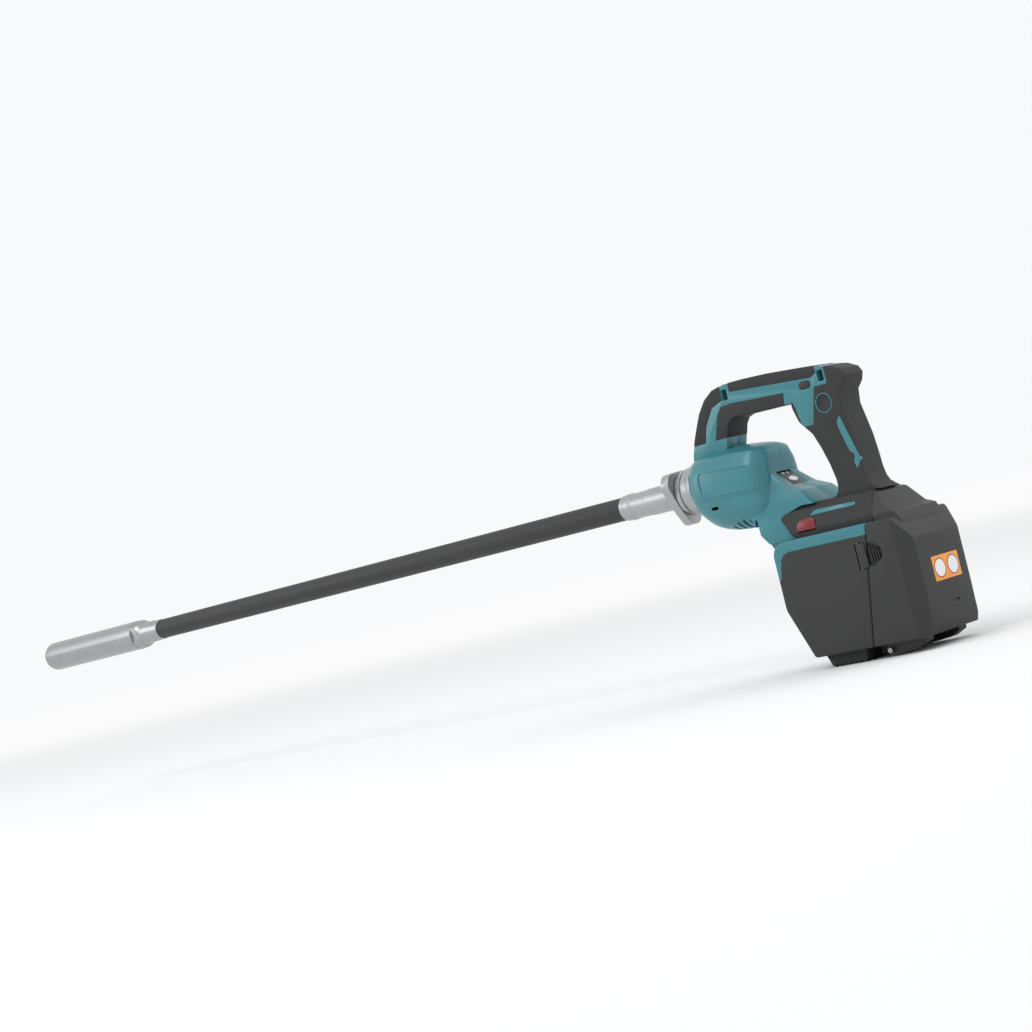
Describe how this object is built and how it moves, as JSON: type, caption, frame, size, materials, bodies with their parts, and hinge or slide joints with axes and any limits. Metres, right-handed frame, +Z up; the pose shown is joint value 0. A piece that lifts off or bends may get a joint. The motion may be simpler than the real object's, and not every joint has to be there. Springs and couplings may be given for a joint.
{
  "type": "cordless concrete vibrator",
  "caption": "Hand-held concrete vibrator: D-handled motor unit over a hinged battery case, with a semi-rigid drive hose and a round steel vibrating head.",
  "frame": {"origin": "middle of the machine's box, on the plane it stands on", "axes": "+X along the shaft axis towards the battery case, head towards -X; +Z up; +Y to the tool's right"},
  "size_m": [1.456, 0.1008, 0.2995],
  "materials": {
    "teal_plastic": "glass-filled nylon, fine spark texture, teal",
    "grip_elastomer": "soft overmoulded elastomer, charcoal",
    "dark_plastic": "moulded ABS, fine texture, dark grey",
    "foot_rubber": "plain black rubber",
    "hose_rubber": "extruded hose cover, satin black",
    "plated_steel": "ground and plated steel",
    "cast_aluminium": "machined die casting",
    "bright_steel": "ground bearing steel",
    "core_steel": "oiled steel wire and laminations",
    "copper": "enamelled copper",
    "circuit_board": "potted circuit board",
    "label_print": "printed film label, plain pictograms",
    "white_key": "silicone key"
  },
  "bodies": {
    "machine": {"motor_housing_left": "teal_plastic", "motor_housing_right": "teal_plastic", "handle_shell_left": "teal_plastic", "handle_shell_right": "teal_plastic", "outer_grip_pad": "grip_elastomer", "inner_grip_pad": "grip_elastomer", "rear_grip_overmould": "grip_elastomer", "grip_inlays": "teal_plastic", "grip_base_cover": "grip_elastomer", "case_skirt": "teal_plastic", "battery_case": "dark_plastic", "rubber_foot": "foot_rubber", "hinge_pin": "bright_steel", "latch_pins": "bright_steel", "battery_rails": "dark_plastic", "terminal_block": "dark_plastic", "terminal_blades": "copper", "front_collar": "cast_aluminium", "hose_flange": "plated_steel", "hose_ferrule": "plated_steel", "hose_root": "hose_rubber", "front_bearing": "bright_steel", "rear_bearing": "bright_steel", "motor_stator": "core_steel", "stator_windings": "copper", "controller_tray": "dark_plastic", "controller_board": "circuit_board", "switch_unit": "dark_plastic", "trigger_pin": "bright_steel", "control_panel": "dark_plastic", "housing_screws": "bright_steel"},
    "motor_rotor": {"rotor_core": "core_steel", "rotor_shaft": "bright_steel", "drive_coupling": "bright_steel", "cooling_fan": "dark_plastic", "drive_core_root": "core_steel"},
    "hose_part_1": {"hose_segment_1": "hose_rubber"},
    "hose_part_2": {"hose_segment_2": "hose_rubber"},
    "hose_part_3": {"hose_segment_3": "hose_rubber"},
    "vibrating_head": {"head_barrel": "plated_steel", "head_neck": "plated_steel", "head_bearings": "bright_steel", "head_oil_seal": "foot_rubber", "hose_head_end": "hose_rubber"},
    "core_part_1": {"drive_core_1": "core_steel"},
    "core_part_2": {"drive_core_2": "core_steel"},
    "core_part_3": {"drive_core_3": "core_steel"},
    "eccentric": {"eccentric_shaft": "bright_steel", "drive_core_head": "core_steel"},
    "trigger_lever": {"trigger": "dark_plastic"},
    "plunger": {"switch_plunger": "dark_plastic"},
    "lock_off": {"lock_off_button": "dark_plastic"},
    "lock_on": {"lock_on_button": "dark_plastic"},
    "power_key": {"power_button": "white_key"},
    "lid": {"battery_lid": "dark_plastic", "lid_label": "label_print"},
    "latch_l": {"latch_left": "dark_plastic"},
    "latch_r": {"latch_right": "dark_plastic"},
    "battery": {"battery_pack": "dark_plastic"},
    "battery_release": {"battery_button": "dark_plastic"}
  },
  "joints": [
    {"name": "motor_spin", "type": "hinge", "parent": "machine", "child": "motor_rotor", "pos_m": [0.52, 0, 0.2025], "axis": [1, 0, 0], "continuous": true},
    {"name": "hose_bend_1", "type": "hinge", "parent": "machine", "child": "hose_part_1", "pos_m": [0.25438, 0, 0.2025], "axis": [0, 1, 0], "range_deg": [-7.5, 7.5], "stiffness_Nm_per_rad": 600},
    {"name": "hose_bend_2", "type": "hinge", "parent": "hose_part_1", "child": "hose_part_2", "pos_m": [0.04713, 0, 0.2025], "axis": [0, 1, 0], "range_deg": [-7.5, 7.5], "stiffness_Nm_per_rad": 600},
    {"name": "hose_bend_3", "type": "hinge", "parent": "hose_part_2", "child": "hose_part_3", "pos_m": [-0.16012, 0, 0.2025], "axis": [0, 1, 0], "range_deg": [-7.5, 7.5], "stiffness_Nm_per_rad": 600},
    {"name": "hose_bend_4", "type": "hinge", "parent": "hose_part_3", "child": "vibrating_head", "pos_m": [-0.36738, 0, 0.2025], "axis": [0, 1, 0], "range_deg": [-7.5, 7.5], "stiffness_Nm_per_rad": 600},
    {"name": "core_spin_1", "type": "hinge", "parent": "hose_part_1", "child": "core_part_1", "pos_m": [0.15075, 0, 0.2025], "axis": [1, 0, 0], "continuous": true},
    {"name": "core_spin_2", "type": "hinge", "parent": "hose_part_2", "child": "core_part_2", "pos_m": [-0.0565, 0, 0.2025], "axis": [1, 0, 0], "continuous": true},
    {"name": "core_spin_3", "type": "hinge", "parent": "hose_part_3", "child": "core_part_3", "pos_m": [-0.26375, 0, 0.2025], "axis": [1, 0, 0], "continuous": true},
    {"name": "eccentric_spin", "type": "hinge", "parent": "vibrating_head", "child": "eccentric", "pos_m": [-0.62, 0, 0.2025], "axis": [1, 0, 0], "continuous": true},
    {"name": "trigger_pull", "type": "hinge", "parent": "machine", "child": "trigger_lever", "pos_m": [0.6175, 0, 0.267], "axis": [0, -1, 0], "range_deg": [0, 9], "stiffness_Nm_per_rad": 1.5},
    {"name": "plunger_slide", "type": "slide", "parent": "machine", "child": "plunger", "axis": [1, 0, 0], "range_m": [0, 0.0032]},
    {"name": "lock_off_slide", "type": "slide", "parent": "machine", "child": "lock_off", "axis": [0, 1, 0], "range_m": [-0.003, 0.003]},
    {"name": "lock_on_press", "type": "slide", "parent": "machine", "child": "lock_on", "axis": [0, 1, 0], "range_m": [0, 0.002], "stiffness_N_per_m": 300},
    {"name": "power_press", "type": "slide", "parent": "machine", "child": "power_key", "axis": [-0.5299, 0, -0.848], "range_m": [0, 0.0008], "stiffness_N_per_m": 500},
    {"name": "lid_open", "type": "hinge", "parent": "machine", "child": "lid", "pos_m": [0.672, 0, 0.0065], "axis": [0, 1, 0], "range_deg": [0, 95]},
    {"name": "latch_left_open", "type": "hinge", "parent": "machine", "child": "latch_l", "pos_m": [0.6695, -0.048, 0.101], "axis": [0, 0, -1], "range_deg": [0, 60]},
    {"name": "latch_right_open", "type": "hinge", "parent": "machine", "child": "latch_r", "pos_m": [0.6695, 0.048, 0.101], "axis": [0, 0, 1], "range_deg": [0, 60]},
    {"name": "battery_slide", "type": "slide", "parent": "machine", "child": "battery", "axis": [1, 0, 0], "range_m": [0, 0.006]},
    {"name": "battery_release_press", "type": "slide", "parent": "battery", "child": "battery_release", "axis": [-1, 0, 0], "range_m": [0, 0.002], "stiffness_N_per_m": 400}
  ],
  "couplings": [
    {"joint": "hose_bend_2", "follows": "hose_bend_1", "ratio": 1},
    {"joint": "hose_bend_3", "follows": "hose_bend_1", "ratio": 1},
    {"joint": "hose_bend_4", "follows": "hose_bend_1", "ratio": 1},
    {"joint": "core_spin_1", "follows": "motor_spin", "ratio": 1},
    {"joint": "core_spin_2", "follows": "motor_spin", "ratio": 1},
    {"joint": "core_spin_3", "follows": "motor_spin", "ratio": 1},
    {"joint": "eccentric_spin", "follows": "motor_spin", "ratio": 1},
    {"joint": "plunger_slide", "follows": "trigger_pull", "m_per_rad": 0.02}
  ]
}
